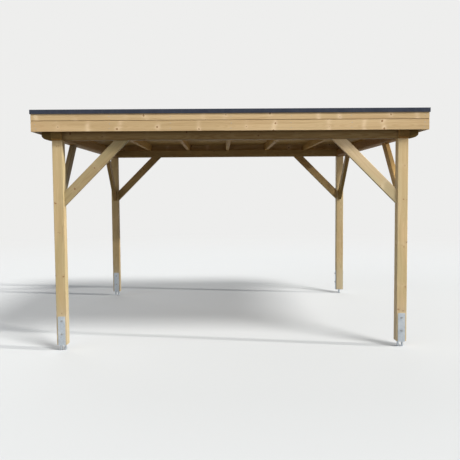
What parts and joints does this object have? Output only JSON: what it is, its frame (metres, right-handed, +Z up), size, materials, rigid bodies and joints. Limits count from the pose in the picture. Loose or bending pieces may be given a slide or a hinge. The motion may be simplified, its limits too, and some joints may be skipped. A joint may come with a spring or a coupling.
{
  "type": "timber carport",
  "caption": "Free-standing flat-roofed timber carport with corner-braced posts on steel anchors, rafters under a boarded roof, board fascia and dark roof-edge trim.",
  "frame": {"origin": "on the ground, in the middle of the post anchors", "axes": "+X to the right as seen from the front, +Y from the front to the rear, +Z up"},
  "size_m": [3.804, 3.476, 2.332],
  "materials": {
    "post_timber": "planed, pressure treated",
    "beam_timber": "planed, pressure treated",
    "brace_timber": "planed, pressure treated",
    "rafter_timber": "planed, pressure treated",
    "roof_boards": "planed boards",
    "kerb_timber": "rough sawn",
    "fascia_timber": "planed, pressure treated",
    "galvanised_steel": "hot-dip galvanised, dull",
    "trim_metal": "satin anthracite",
    "roofing_sheet": "matt"
  },
  "bodies": {
    "root": {"post_front_left": "post_timber", "post_front_right": "post_timber", "post_rear_left": "post_timber", "post_rear_right": "post_timber", "anchor_front_left": "galvanised_steel", "anchor_front_right": "galvanised_steel", "anchor_rear_left": "galvanised_steel", "anchor_rear_right": "galvanised_steel", "header_front": "beam_timber", "header_rear": "beam_timber", "side_beam_left": "beam_timber", "side_beam_right": "beam_timber", "header_brace_front_left": "brace_timber", "side_brace_front_left": "brace_timber", "header_brace_front_right": "brace_timber", "side_brace_front_right": "brace_timber", "header_brace_rear_left": "brace_timber", "side_brace_rear_left": "brace_timber", "header_brace_rear_right": "brace_timber", "side_brace_rear_right": "brace_timber", "rafter_1": "rafter_timber", "rafter_2": "rafter_timber", "rafter_3": "rafter_timber", "rafter_4": "rafter_timber", "rafter_5": "rafter_timber", "rafter_6": "rafter_timber", "rafter_7": "rafter_timber", "roof_deck": "roof_boards", "kerb_left": "kerb_timber", "kerb_right": "kerb_timber", "kerb_front": "kerb_timber", "kerb_rear": "kerb_timber", "roofing": "roofing_sheet", "fascia_left_lower": "fascia_timber", "fascia_left_upper": "fascia_timber", "fascia_right_lower": "fascia_timber", "fascia_right_upper": "fascia_timber", "fascia_front_lower": "fascia_timber", "fascia_front_upper": "fascia_timber", "fascia_rear_lower": "fascia_timber", "fascia_rear_upper": "fascia_timber", "trim_left": "trim_metal", "trim_right": "trim_metal", "trim_front": "trim_metal", "trim_rear": "trim_metal"}
  },
  "joints": []
}
